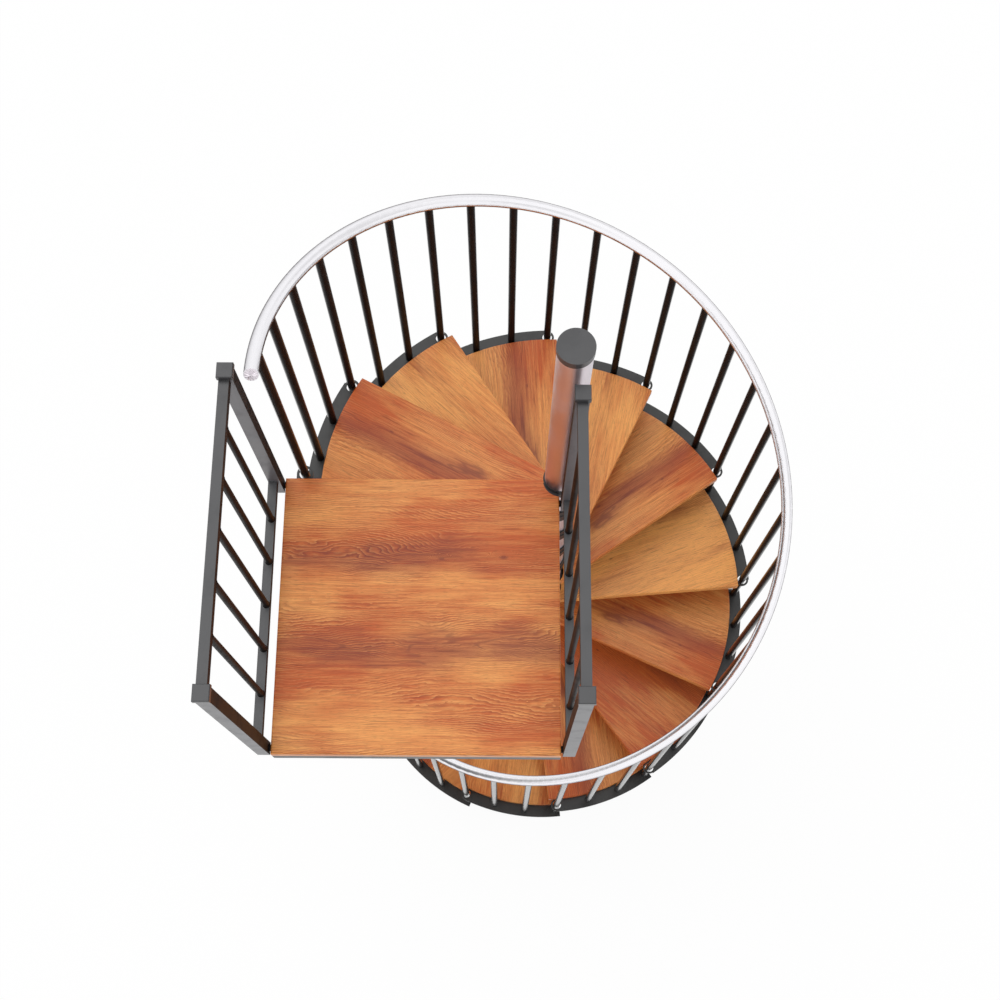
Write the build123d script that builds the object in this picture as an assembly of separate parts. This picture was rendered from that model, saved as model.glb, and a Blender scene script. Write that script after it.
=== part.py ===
from build123d import *
import math
import os

# Spiral staircase: eleven wedge treads climb anticlockwise round a steel column
# to a square landing with a railing panel on its left and on its right side.
# Millimetres, +Z up. The origin is the centre of the base flange's underside.

# Stair
TREADS = 11
RISE = 239.0
STEP_DEG = 29.4
NOSING_DEG = 152.05
OVERLAP = 75.0
FLOOR_TO_LANDING = RISE * (TREADS + 1)

# Column
COLUMN_R = 40.0
COLUMN_WALL = 4.0
COLUMN_TOP_DROP = 20.0
SLEEVE_R = 50.0
SLIDE_CLEARANCE = 0.3
HUB_R = 56.0
HUB_H = 94.0
HUB_DROP = 6.0

# Balusters stand on one circle, and the boards and the rim follow it
BALUSTER_CIRCLE_R = 838.0
BALUSTER_R = 14.0
BALUSTER_DEG = 149.82
BALUSTERS_PER_TREAD = 3

# Wood boards
BOARD_T = 36.0
BOARD_INSIDE = 24.0
BOARD_R = BALUSTER_CIRCLE_R - BOARD_INSIDE
BOARD_EDGE_ROUND = 3.0
BOARD_HUB_CLEARANCE = 6.0
BOARD_HUB_R = HUB_R + BOARD_HUB_CLEARANCE
NOSING_PAST_HUB = 5.6
NOSING_OFFSET = BOARD_HUB_R + NOSING_PAST_HUB

# Steel tread carriers
PLATE_T = 6.0
PLATE_INSET = 15.0
RIM_OUTSIDE = 30.0
RIM_R = BALUSTER_CIRCLE_R + RIM_OUTSIDE
RIM_LIP_T = 4.0
RIM_LIP_H = 14.0
RIM_LIP_START = 18.0
RIM_TAIL = 22.0
RIM_UNDERLAP = 8.0
RIB_T = 6.0
RIB_H = 34.0
RIB_DEGS = (3.5, 21.5)
HUB_BITE = 4.0
EYE_OUTER_R = 27.0
EYE_INNER_R = 19.0
FLANGE_R = 150.0
FLANGE_T = 12.0
FLANGE_BOLTS = 4
FLANGE_PCD = 240.0
FLANGE_HOLE_R = 7.0

# Upper pole
POLE_TOP_H = 1004.0
POLE_CAP_R = 52.0
POLE_CAP_H = 27.0
POLE_CAP_PLUG_H = 16.0
POLE_WALL = 3.0
COLLAR_R = 53.0
COLLAR_H = 9.0

# Handrail and the foot of the lowest baluster
RAIL_R = 20.0
RAIL_H = 945.0
RAIL_TOP_RUN_DEG = 6.1
RAIL_LOW_RUN_DEG = 3.5
RAIL_END_T = 4.0
RAIL_END_R = 20.5
SEAT_CLEARANCE = 0.2
FOOT_R = 34.0
FOOT_T = 6.0

# Landing: it covers the rim's circle on two sides and ends near the column on the others
LANDING_PAST_RIM_X = 26.5
LANDING_PAST_RIM_Y = 43.0
LANDING_X0 = -RIM_R - LANDING_PAST_RIM_X
LANDING_X1 = -4.0
LANDING_Y0 = -RIM_R - LANDING_PAST_RIM_Y
LANDING_Y1 = -17.0
LANDING_DEPTH = 84.0
LANDING_WALL_T = 4.0
LANDING_EDGE_ROUND = 5.0
LANDING_LEDGE_W = 30.0
LANDING_LEDGE_T = 4.0
LANDING_BEAM_W = 40.0
LANDING_BEAM_RAISE = 2.0
LANDING_BEAMS = 2
LANDING_HUB_R = 52.0
HUB_PLATE_R = 82.0
NOTCH_R = 57.0
NOTCH_Y = -19.0

# Railing panels on the landing
PANEL_H = 923.0
POST_W = 38.0
POST_CAP_W = 44.0
POST_DROP = 40.0
POST_FRONT_INSET = 3.0
POST_CAP_H = 20.0
POST_CAP_CHAMFER = 2.0
PANEL_RAIL_W = 28.0
PANEL_RAIL_H = 30.0
PANEL_FOOT_GAP = 45.0
PANEL_BARS = 5
PANEL_BAR_R = 10.0
PANEL_BAR_PITCH = 139.0
LEFT_POST_GAP = 6.5
LEFT_POST_X = LANDING_X0 - LEFT_POST_GAP - POST_W
RIGHT_POST_GAP = 6.0
RIGHT_POST_X = LANDING_X1 + RIGHT_POST_GAP
POST_COLLAR_GAP = 22.0
RIGHT_BACK_POST_Y = -COLLAR_R - POST_COLLAR_GAP
FRONT_POST_Y = LANDING_Y0 + POST_FRONT_INSET
LEFT_RAIL_SHIFT = -4.0
RIGHT_RAIL_SHIFT = 0.0
LEFT_BAR_SHIFT = 2.5
RIGHT_BAR_SHIFT = -1.5
SPACER_R = 11.0
SPACER_DROP = 18.0

os.makedirs("parts", exist_ok=True)


def save(shape, name):
    export_step(shape, f"parts/{name}.step")


def gather(solids):
    return Compound(children=list(solids))


def tread_top(k):
    return FLOOR_TO_LANDING - k * RISE


def tread_place(k):
    return Pos(0, 0, tread_top(k)) * Rot(0, 0, NOSING_DEG - (k - 1) * STEP_DEG)


def unit(deg):
    return Vector(math.cos(math.radians(deg)), math.sin(math.radians(deg)))


def ring_point(radius, deg, z=0.0):
    d = unit(deg)
    return (radius * d.X, radius * d.Y, z)


def tube(outer_r, inner_r, z0, z1):
    body = Pos(0, 0, (z0 + z1) / 2) * Cylinder(outer_r, z1 - z0)
    return body - Pos(0, 0, (z0 + z1) / 2) * Cylinder(inner_r, z1 - z0 + 2)


def box_span(x0, x1, y0, y1, z0, z1):
    return Pos((x0 + x1) / 2, (y0 + y1) / 2, (z0 + z1) / 2) * Box(x1 - x0, y1 - y0, z1 - z0)


# A tread is drawn once, with its nosing along +X, and then set at each step.
LOCAL_BALUSTER_DEG = BALUSTER_DEG - NOSING_DEG
HALF_STEP = STEP_DEG / 2


def wedge(front_inset, rear_inset, inner_r, outer_r, z0, z1):
    front = unit(0)
    front_side = unit(90)
    rear = unit(STEP_DEG)
    rear_side = unit(STEP_DEG + 90)
    front_off = -NOSING_OFFSET + front_inset
    rear_off = -NOSING_OFFSET + OVERLAP - rear_inset
    tan_half = math.tan(math.radians(HALF_STEP))
    reach = 1.2 * outer_r
    p1 = front * (-front_off * tan_half) + front_side * front_off
    p2 = front * reach + front_side * front_off
    p3 = rear * reach + rear_side * rear_off
    p4 = rear * (rear_off * tan_half) + rear_side * rear_off
    far = unit(HALF_STEP) * (2 * outer_r)
    outline = Polyline((p1.X, p1.Y), (p2.X, p2.Y), (far.X, far.Y), (p3.X, p3.Y), (p4.X, p4.Y), close=True)
    block = Pos(0, 0, z0) * extrude(make_face(outline), z1 - z0)
    mid = (z0 + z1) / 2
    away = Pos(0, 0, mid) * Rot(0, 0, HALF_STEP + 180)
    block = block & (away * Cylinder(outer_r, z1 - z0))
    return block - away * Cylinder(inner_r, z1 - z0 + 2)


def ring_sector(r0, r1, deg0, deg1, z0, z1):
    span = Pos(0, 0, z0) * Cylinder(
        r1, z1 - z0, arc_size=deg1 - deg0, rotation=(0, 0, deg0), align=(Align.NONE, Align.NONE, Align.MIN)
    )
    return span - Pos(0, 0, (z0 + z1) / 2) * Cylinder(r0, z1 - z0 + 2)


# Wood board of one tread
board = wedge(0, 0, BOARD_HUB_R, BOARD_R, -BOARD_T, 0)
top_face = board.faces().sort_by(Axis.Z)[-1]
long_edges = top_face.edges().sort_by(SortBy.LENGTH)[-3:]
board = fillet(long_edges, BOARD_EDGE_ROUND)

# Steel carrier of one tread: plate, rim band, baluster eye, ribs and hub
plate_top = -BOARD_T
plate_low = plate_top - PLATE_T
tail_deg = math.degrees(RIM_TAIL / BALUSTER_CIRCLE_R)
rim_deg0 = LOCAL_BALUSTER_DEG
rim_deg1 = LOCAL_BALUSTER_DEG + STEP_DEG + tail_deg
lip_deg0 = rim_deg0 + math.degrees(RIM_LIP_START / RIM_R)
carrier = wedge(PLATE_INSET, PLATE_INSET, HUB_R - HUB_BITE, BOARD_R, plate_low, plate_top)
carrier += ring_sector(BOARD_R - RIM_UNDERLAP, RIM_R, rim_deg0, rim_deg1, plate_low, plate_top)
carrier += ring_sector(RIM_R - RIM_LIP_T, RIM_R, lip_deg0, rim_deg1, plate_top - RIM_LIP_H, plate_top)
eye_at = ring_point(BALUSTER_CIRCLE_R, LOCAL_BALUSTER_DEG, (plate_low + plate_top) / 2)
carrier += Pos(*eye_at) * Cylinder(EYE_OUTER_R, PLATE_T)
rib = box_span(HUB_R - HUB_BITE, BOARD_R - RIM_UNDERLAP, -RIB_T / 2, RIB_T / 2, plate_low - RIB_H, plate_low)
for rib_deg in RIB_DEGS:
    carrier += Rot(0, 0, rib_deg) * rib
carrier += tube(HUB_R, COLUMN_R + SLIDE_CLEARANCE, -HUB_DROP - HUB_H, -HUB_DROP)
carrier -= Pos(*eye_at) * Cylinder(EYE_INNER_R, 3 * RIM_LIP_H)

for k in range(1, TREADS + 1):
    place = tread_place(k)
    save(place * board, f"tread_{k:02d}")
    save(place * carrier, f"tread_carrier_{k:02d}")

# Column, base flange and the sleeves between the hubs
flange = Pos(0, 0, FLANGE_T / 2) * Cylinder(FLANGE_R, FLANGE_T)
for n in range(FLANGE_BOLTS):
    hole_at = ring_point(FLANGE_PCD / 2, 45 + n * 360 / FLANGE_BOLTS, FLANGE_T / 2)
    flange -= Pos(*hole_at) * Cylinder(FLANGE_HOLE_R, FLANGE_T + 2)
save(flange, "base_flange")

pole_top = FLOOR_TO_LANDING + POLE_TOP_H
cap_low = pole_top - POLE_CAP_H
save(tube(COLUMN_R, COLUMN_R - COLUMN_WALL, FLANGE_T, cap_low - COLUMN_TOP_DROP), "column")

sleeves = []
low = FLANGE_T
for k in range(TREADS, 0, -1):
    high = tread_top(k) - HUB_DROP - HUB_H
    sleeves.append(tube(SLEEVE_R, COLUMN_R + SLIDE_CLEARANCE, low, high))
    low = tread_top(k) - HUB_DROP
sleeves.append(tube(SLEEVE_R, COLUMN_R + SLIDE_CLEARANCE, low, FLOOR_TO_LANDING - LANDING_DEPTH))
save(gather(sleeves), "column_sleeves")

# Upper pole: it stands on the hub of the landing, in a notch of the landing board
pole_low = FLOOR_TO_LANDING - BOARD_T
save(tube(SLEEVE_R, SLEEVE_R - POLE_WALL, pole_low, cap_low), "pole_tube")
cap = Pos(0, 0, pole_top - POLE_CAP_H / 2) * Cylinder(POLE_CAP_R, POLE_CAP_H)
plug_r = SLEEVE_R - POLE_WALL - SLIDE_CLEARANCE
cap += Pos(0, 0, cap_low - POLE_CAP_PLUG_H / 2) * Cylinder(plug_r, POLE_CAP_PLUG_H)
save(cap, "pole_cap")
save(tube(COLLAR_R, SLEEVE_R + SLIDE_CLEARANCE, pole_low, pole_low + COLLAR_H), "pole_collar")

# Handrail: a round tube on a helix over the baluster circle
rail_low_deg = BALUSTER_DEG - (TREADS - 1) * STEP_DEG - RAIL_LOW_RUN_DEG
rail_top_deg = BALUSTER_DEG + STEP_DEG + RAIL_TOP_RUN_DEG
rise_per_deg = RISE / STEP_DEG


def rail_z(deg):
    return tread_top(1) + RAIL_H + (deg - BALUSTER_DEG) * rise_per_deg


rail_climb = (rail_top_deg - rail_low_deg) * rise_per_deg
helix = Helix(pitch=rise_per_deg * 360, height=rail_climb, radius=BALUSTER_CIRCLE_R)
helix = Pos(0, 0, rail_z(rail_low_deg)) * Rot(0, 0, rail_low_deg) * helix
slope = math.atan(rise_per_deg / (math.radians(1) * BALUSTER_CIRCLE_R))


def rail_plane(deg):
    along = Vector(-math.sin(math.radians(deg)), math.cos(math.radians(deg)), 0) * math.cos(slope)
    along += Vector(0, 0, math.sin(slope))
    return Plane(origin=ring_point(BALUSTER_CIRCLE_R, deg, rail_z(deg)), x_dir=unit(deg), z_dir=along)


rail_profile = rail_plane(rail_low_deg) * Circle(RAIL_R)
handrail = sweep(rail_profile, path=helix)
save(handrail, "handrail")
low_end = extrude(rail_plane(rail_low_deg) * Circle(RAIL_END_R), -RAIL_END_T)
top_end = extrude(rail_plane(rail_top_deg) * Circle(RAIL_END_R), RAIL_END_T)
save(gather([low_end, top_end]), "handrail_end_caps")


# Balusters reach up to the underside of the handrail
def baluster(deg, foot_z):
    top = rail_z(deg)
    x, y, _ = ring_point(BALUSTER_CIRCLE_R, deg)
    bar = Pos(x, y, (foot_z + top) / 2) * Cylinder(BALUSTER_R, top - foot_z)
    seat = extrude(rail_plane(deg) * Circle(RAIL_R + SEAT_CLEARANCE), 3 * RAIL_R, both=True)
    bar = bar - seat
    return bar.solids().sort_by(Axis.Z)[0]


step_deg = STEP_DEG / BALUSTERS_PER_TREAD
short_bars = []
nosing_bars = []
for k in range(0, TREADS + 1):
    nosing_at = BALUSTER_DEG - (k - 1) * STEP_DEG
    if k < TREADS:
        nosing_bars.append(baluster(nosing_at, tread_top(k + 1) - BOARD_T))
    else:
        nosing_bars.append(baluster(nosing_at, FOOT_T))
    if k > 0:
        for n in range(1, BALUSTERS_PER_TREAD):
            short_bars.append(baluster(nosing_at + n * step_deg, tread_top(k) - BOARD_T))
save(gather(short_bars), "short_balusters")
save(gather(nosing_bars), "nosing_balusters")

start_deg = BALUSTER_DEG - (TREADS - 1) * STEP_DEG
foot_at = ring_point(BALUSTER_CIRCLE_R, start_deg, FOOT_T / 2)
save(Pos(*foot_at) * Cylinder(FOOT_R, FOOT_T), "start_baluster_foot")

# Landing: a steel edge frame with a ledge, beams, a hub and a lug with an eye carries the board.
# The board is notched round the pole, and a plate on the hub closes the notch from below.
z_top = FLOOR_TO_LANDING
z_low = z_top - LANDING_DEPTH
ledge_top = z_top - BOARD_T
ledge_low = ledge_top - LANDING_LEDGE_T


def landing_block(inset, z0, z1):
    return box_span(LANDING_X0 + inset, LANDING_X1 - inset, LANDING_Y0 + inset, LANDING_Y1 - inset, z0, z1)


frame = landing_block(0, z_low, ledge_top) - landing_block(LANDING_WALL_T, z_low - 1, ledge_top + 1)
frame += landing_block(1, ledge_low, ledge_top) - landing_block(LANDING_LEDGE_W, ledge_low - 1, ledge_top + 1)
beam_pitch = (LANDING_Y1 - LANDING_Y0) / (LANDING_BEAMS + 1)
for n in range(1, LANDING_BEAMS + 1):
    beam_y0 = LANDING_Y0 + n * beam_pitch - LANDING_BEAM_W / 2
    beam_low = z_low + LANDING_BEAM_RAISE
    frame += box_span(LANDING_X0 + 1, LANDING_X1 - 1, beam_y0, beam_y0 + LANDING_BEAM_W, beam_low, ledge_top)
frame += Pos(0, 0, (z_low + ledge_top) / 2) * Cylinder(LANDING_HUB_R, ledge_top - z_low)
hub_plate = Pos(0, 0, ledge_top - PLATE_T / 2) * Cylinder(HUB_PLATE_R, PLATE_T)
frame += hub_plate & landing_block(1, z_low, z_top)
eye_x, eye_y, _ = ring_point(BALUSTER_CIRCLE_R, BALUSTER_DEG + STEP_DEG)
eye_mid = ledge_top - PLATE_T / 2
lug_y0 = LANDING_Y1 - LANDING_LEDGE_W
frame += box_span(eye_x - EYE_OUTER_R, eye_x + EYE_OUTER_R, lug_y0, eye_y, ledge_top - PLATE_T, ledge_top)
frame += Pos(eye_x, eye_y, eye_mid) * Cylinder(EYE_OUTER_R, PLATE_T)
frame -= Pos(eye_x, eye_y, eye_mid) * Cylinder(EYE_INNER_R, PLATE_T + 2)
frame -= Pos(0, 0, (z_low + z_top) / 2) * Cylinder(COLUMN_R + SLIDE_CLEARANCE, LANDING_DEPTH + 2)
save(frame, "landing_frame")

landing_board = landing_block(0, ledge_top, z_top)
landing_board = fillet(landing_board.faces().sort_by(Axis.Z)[-1].edges(), LANDING_EDGE_ROUND)
landing_board -= Pos(0, NOTCH_Y, z_top - BOARD_T / 2) * Cylinder(NOTCH_R, BOARD_T + 2)
save(landing_board, "landing_board")


# Railing panels: two posts, a top and a bottom rail and five round bars
def panel(post_x, back_y, front_y, rail_shift, bar_shift):
    top = z_top + PANEL_H - POST_CAP_H
    post_low = z_top - POST_DROP
    bar_mid_y = (back_y + front_y) / 2 + bar_shift
    mid_x = post_x + POST_W / 2
    rail_x0 = mid_x + rail_shift - PANEL_RAIL_W / 2
    rail_x1 = rail_x0 + PANEL_RAIL_W
    foot_top = z_top + PANEL_FOOT_GAP + PANEL_RAIL_H
    body = box_span(post_x, post_x + POST_W, back_y - POST_W, back_y, post_low, top)
    body += box_span(post_x, post_x + POST_W, front_y, front_y + POST_W, post_low, top)
    body += box_span(rail_x0, rail_x1, front_y + POST_W, back_y - POST_W, top - PANEL_RAIL_H, top)
    body += box_span(rail_x0, rail_x1, front_y + POST_W, back_y - POST_W, foot_top - PANEL_RAIL_H, foot_top)
    for n in range(PANEL_BARS):
        y = bar_mid_y + (n - (PANEL_BARS - 1) / 2) * PANEL_BAR_PITCH
        bar_low = foot_top - 1
        bar_high = top - PANEL_RAIL_H + 1
        body += Pos(mid_x, y, (bar_low + bar_high) / 2) * Cylinder(PANEL_BAR_R, bar_high - bar_low)
    return body


def post_caps(post_x, back_y, front_y):
    top = z_top + PANEL_H
    extra = (POST_CAP_W - POST_W) / 2
    caps = []
    for y in (back_y - POST_W, front_y):
        cap_box = box_span(
            post_x - extra, post_x + POST_W + extra, y - extra, y + POST_W + extra, top - POST_CAP_H, top
        )
        top_edges = cap_box.faces().sort_by(Axis.Z)[-1].edges()
        caps.append(chamfer(top_edges, POST_CAP_CHAMFER))
    return caps


save(panel(LEFT_POST_X, LANDING_Y1, FRONT_POST_Y, LEFT_RAIL_SHIFT, LEFT_BAR_SHIFT), "left_railing_panel")
save(panel(RIGHT_POST_X, RIGHT_BACK_POST_Y, FRONT_POST_Y, RIGHT_RAIL_SHIFT, RIGHT_BAR_SHIFT), "right_railing_panel")
caps = post_caps(LEFT_POST_X, LANDING_Y1, FRONT_POST_Y)
caps += post_caps(RIGHT_POST_X, RIGHT_BACK_POST_Y, FRONT_POST_Y)
save(gather(caps), "post_caps")

spacers = []
left_run = (LEFT_POST_X + POST_W, LANDING_X0)
right_run = (LANDING_X1, RIGHT_POST_X)
for (x0, x1), back_y in ((left_run, LANDING_Y1), (right_run, RIGHT_BACK_POST_Y)):
    for y in (back_y - POST_W / 2, FRONT_POST_Y + POST_W / 2):
        disc = Pos((x0 + x1) / 2, y, z_top - SPACER_DROP) * Rot(0, 90, 0) * Cylinder(SPACER_R, x1 - x0)
        spacers.append(disc)
save(gather(spacers), "post_spacers")
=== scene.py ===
# %% [markdown]
# # A spiral staircase, finished in Blender
#
# The model that we load holds the real solids of the stair in metres, +Z up, with the column on the Z axis.
# This lesson gives each of them its finish, adds the small fasteners and welds, and sets up the view.
# A solid from that model is never moved or reshaped here. It only gets materials.

# %% Load the solids
import bmesh
import bpy
import math
from mathutils import Matrix, Vector


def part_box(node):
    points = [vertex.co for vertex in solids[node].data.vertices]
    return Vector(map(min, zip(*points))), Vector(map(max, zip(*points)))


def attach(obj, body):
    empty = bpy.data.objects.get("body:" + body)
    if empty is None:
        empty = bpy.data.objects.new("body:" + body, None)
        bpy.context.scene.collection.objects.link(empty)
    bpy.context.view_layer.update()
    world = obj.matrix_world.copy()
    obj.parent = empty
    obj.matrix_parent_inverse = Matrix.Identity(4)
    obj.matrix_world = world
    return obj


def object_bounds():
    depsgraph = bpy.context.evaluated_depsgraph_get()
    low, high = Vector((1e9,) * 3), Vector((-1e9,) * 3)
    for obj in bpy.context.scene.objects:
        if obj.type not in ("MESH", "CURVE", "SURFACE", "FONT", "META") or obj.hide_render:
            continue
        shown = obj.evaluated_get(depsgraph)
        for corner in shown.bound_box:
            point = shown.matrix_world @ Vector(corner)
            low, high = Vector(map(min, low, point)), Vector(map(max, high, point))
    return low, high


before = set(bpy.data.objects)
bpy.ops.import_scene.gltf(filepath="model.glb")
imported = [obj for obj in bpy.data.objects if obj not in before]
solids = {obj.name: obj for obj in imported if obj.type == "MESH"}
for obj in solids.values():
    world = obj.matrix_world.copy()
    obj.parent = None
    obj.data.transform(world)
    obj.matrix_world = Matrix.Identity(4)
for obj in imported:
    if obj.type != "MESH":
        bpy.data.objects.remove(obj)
cad_low, cad_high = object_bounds()
print(len(solids), "solids, from", tuple(round(v, 3) for v in cad_low), "to", tuple(round(v, 3) for v in cad_high))

# %% [markdown]
# ## The camera
#
# The photograph looks down on the stair from above the landing, 18 degrees off straight down.
# We could aim a camera with a constraint, but two angles are simpler to read: a pitch about X, then a small turn
# about Z. A 50 mm lens on a 36 mm sensor gives the same convergence of the posts and the pole.

# %% Camera
CAMERA_PLACE = Vector((-0.1879, -1.4926, 7.146))
CAMERA_PITCH = math.radians(18.168)
CAMERA_TURN = math.radians(0.341)
LENS_MM = 50.0
SENSOR_MM = 36.0

camera_data = bpy.data.cameras.new("camera")
camera_data.lens = LENS_MM
camera_data.sensor_width = SENSOR_MM
camera = bpy.data.objects.new("camera", camera_data)
camera.location = CAMERA_PLACE
camera.rotation_euler = (CAMERA_PITCH, 0.0, CAMERA_TURN)
bpy.context.scene.collection.objects.link(camera)
bpy.context.scene.camera = camera
bpy.context.scene.view_settings.view_transform = "Standard"
print("camera at", tuple(round(v, 3) for v in camera.location))

# %% [markdown]
# ## Small helpers for shader trees
#
# A shader tree is boxes and wires. Written out in full, each box takes five lines, so we first make short
# helpers. One adds a box and one feeds a socket with either a number or a wire. Two do arithmetic, on numbers and
# on vectors, and return the wire that comes out, so that calls can stand inside calls. The last takes a vector
# apart.

# %% Boxes, wires and arithmetic
def add(tree, kind, **settings):
    node = tree.nodes.new(kind)
    for name, value in settings.items():
        setattr(node, name, value)
    return node


def feed(tree, socket, value):
    if isinstance(value, bpy.types.NodeSocket):
        tree.links.new(value, socket)
    else:
        socket.default_value = value


def calc(tree, operation, *values):
    node = add(tree, "ShaderNodeMath", operation=operation)
    for socket, value in zip(node.inputs, values):
        feed(tree, socket, value)
    return node.outputs[0]


def vector_calc(tree, operation, a, b):
    node = add(tree, "ShaderNodeVectorMath", operation=operation)
    feed(tree, node.inputs[0], a)
    feed(tree, node.inputs[1], b)
    return node.outputs[0]


def three_parts(tree, vector):
    node = add(tree, "ShaderNodeSeparateXYZ")
    feed(tree, node.inputs[0], vector)
    return node.outputs


# %% [markdown]
# The next helpers wrap the boxes that this stair needs again and again: a stretched noise, a soft threshold, and a
# mix of two colours. Colours are easiest to read off a picture in its own numbers, 0 to 255, but shaders count in
# linear light, so one helper converts them.

# %% Noise, thresholds and colours
def noise(tree, vector, cells, detail=2.0, roughness=0.5):
    """A noise with stretched cells: cells says how many of them a metre holds along x, y and z."""
    node = add(tree, "ShaderNodeTexNoise")
    feed(tree, node.inputs["Vector"], vector_calc(tree, "MULTIPLY", vector, cells))
    node.inputs["Scale"].default_value = 1.0
    node.inputs["Detail"].default_value = detail
    node.inputs["Roughness"].default_value = roughness
    return node.outputs["Fac"]


def between(tree, value, low, high, to_low=0.0, to_high=1.0):
    """Turns the range low to high of a value into to_low to to_high, with soft ends."""
    node = add(tree, "ShaderNodeMapRange", interpolation_type="SMOOTHSTEP")
    sockets = ("Value", "From Min", "From Max", "To Min", "To Max")
    for name, number in zip(sockets, (value, low, high, to_low, to_high)):
        feed(tree, node.inputs[name], number)
    return node.outputs["Result"]


def blend_colours(tree, amount, first, second):
    """A Mix box has sockets for each kind of data. Those for colours are 6 and 7 going in, and 2 coming out."""
    node = add(tree, "ShaderNodeMix", data_type="RGBA")
    feed(tree, node.inputs[0], amount)
    feed(tree, node.inputs[6], first)
    feed(tree, node.inputs[7], second)
    return node.outputs[2]


def srgb(red, green, blue):
    """A colour as a picture editor names it, turned into the linear numbers that shaders use."""
    def linear(v):
        v = v / 255
        return v / 12.92 if v <= 0.04045 else ((v + 0.055) / 1.055) ** 2.4
    return (linear(red), linear(green), linear(blue), 1.0)


# %% [markdown]
# Last come the two containers. A group is an effect that several materials share. A material holds its own
# Principled shader, and draws its patterns in the object's own space, so that they keep their size in metres.

# %% Groups and materials
def new_group(name, inputs, outputs):
    """A shader group with named sockets. Returns the group, its input box and its output box."""
    group = bpy.data.node_groups.new(name, "ShaderNodeTree")
    for label, kind, value in inputs:
        socket = group.interface.new_socket(name=label, in_out="INPUT", socket_type=kind)
        if value is not None:
            socket.default_value = value
    for label, kind in outputs:
        group.interface.new_socket(name=label, in_out="OUTPUT", socket_type=kind)
    return group, group.nodes.new("NodeGroupInput"), group.nodes.new("NodeGroupOutput")


def new_material(name):
    """A material with nothing but its Principled shader, and a place on the object to draw from."""
    material = bpy.data.materials.new(name)
    material.use_nodes = True
    tree = material.node_tree
    tree.nodes.clear()
    shader = add(tree, "ShaderNodeBsdfPrincipled")
    tree.links.new(shader.outputs[0], add(tree, "ShaderNodeOutputMaterial").inputs[0])
    place = add(tree, "ShaderNodeTexCoord").outputs["Object"]
    return material, tree, shader, place


BUMP_REACH = 0.0004


def bump_from(tree, shader, height, strength):
    bump = add(tree, "ShaderNodeBump")
    bump.inputs["Strength"].default_value = strength
    bump.inputs["Distance"].default_value = BUMP_REACH
    feed(tree, bump.inputs["Height"], height)
    tree.links.new(bump.outputs[0], shader.inputs["Normal"])


# %% [markdown]
# ## Light and floor
#
# The stair stands in a white studio. A white world gives even light from all sides, and one wide soft lamp gives
# the treads a direction of light and a soft shadow under each nosing.
# Polished metal looks like metal only if it has something darker than white to mirror. So what gloss sees of the
# studio has a dark wall on the left and a pale grey strip over the horizon, on the left and on the right. They
# shade the flanks of each tube. The limits of both are parts of a direction, from -1 to 1.

# %% World: what gloss sees
STUDIO_WHITE = (1.0, 1.0, 1.0, 1.0)
WORLD_LIGHT = 0.70
WALL_LIGHT = 0.15
WALL_STARTS, WALL_FULL = -0.70, -0.93
STRIP_LIGHT = 0.76
STRIP_HEIGHT = 0.20
STRIP_FADES, STRIP_FULL = 0.20, 0.08
SIDE_STARTS, SIDE_FULL = 0.30, 0.70

world = bpy.data.worlds.new("studio")
bpy.context.scene.world = world
world.use_nodes = True
sky = world.node_tree
sky.nodes.clear()
toward = three_parts(sky, add(sky, "ShaderNodeTexCoord").outputs["Generated"])
left_wall = between(sky, toward["X"], WALL_STARTS, WALL_FULL, 0.0, 1.0 - WALL_LIGHT)
strip_off = calc(sky, "ABSOLUTE", calc(sky, "SUBTRACT", toward["Z"], STRIP_HEIGHT))
strip = between(sky, strip_off, STRIP_FADES, STRIP_FULL, 0.0, 1.0 - STRIP_LIGHT)
sideways = between(sky, calc(sky, "ABSOLUTE", toward["X"]), SIDE_STARTS, SIDE_FULL)
darker = calc(sky, "MAXIMUM", left_wall, calc(sky, "MULTIPLY", strip, sideways))
darker = calc(sky, "MULTIPLY", darker, add(sky, "ShaderNodeLightPath").outputs["Is Glossy Ray"])
print("gloss sees a wall of", WALL_LIGHT, "and a strip of", STRIP_LIGHT)

# %% [markdown]
# The background of the picture is white, but a world of strength 1 would light the stair too strongly. A world may
# have one strength for the rays that the camera and gloss send out and another for the light that falls on things.

# %% World: two strengths
def white_for_eyes(tree):
    """1 for rays from the camera and for rays seen in gloss or glass, 0 for the light that falls on things."""
    path = add(tree, "ShaderNodeLightPath")
    seen = calc(tree, "MAXIMUM", path.outputs["Is Camera Ray"], path.outputs["Is Glossy Ray"])
    return calc(tree, "MAXIMUM", seen, path.outputs["Is Transmission Ray"])


def sky_shader(strength):
    shader = add(sky, "ShaderNodeBackground")
    shader.inputs["Color"].default_value = STUDIO_WHITE
    feed(sky, shader.inputs["Strength"], strength)
    return shader.outputs[0]


sky_mix = add(sky, "ShaderNodeMixShader")
feed(sky, sky_mix.inputs[0], white_for_eyes(sky))
feed(sky, sky_mix.inputs[1], sky_shader(WORLD_LIGHT))
feed(sky, sky_mix.inputs[2], sky_shader(calc(sky, "SUBTRACT", 1.0, darker)))
sky.links.new(sky_mix.outputs[0], add(sky, "ShaderNodeOutputWorld").inputs[0])
print("world:", len(sky.nodes), "boxes")

# %% Lamp
LAMP_STRENGTH = 1.15
LAMP_WIDTH = math.radians(55.0)
LAMP_TILT = (math.radians(-14.0), math.radians(-16.0), 0.0)

lamp_data = bpy.data.lights.new("wide lamp", "SUN")
lamp_data.energy = LAMP_STRENGTH
lamp_data.angle = LAMP_WIDTH
lamp = bpy.data.objects.new("wide_lamp", lamp_data)
lamp.rotation_euler = LAMP_TILT
bpy.context.scene.collection.objects.link(lamp)
print("lamp", LAMP_STRENGTH, "and", round(math.degrees(LAMP_WIDTH)), "degrees wide")

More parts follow.
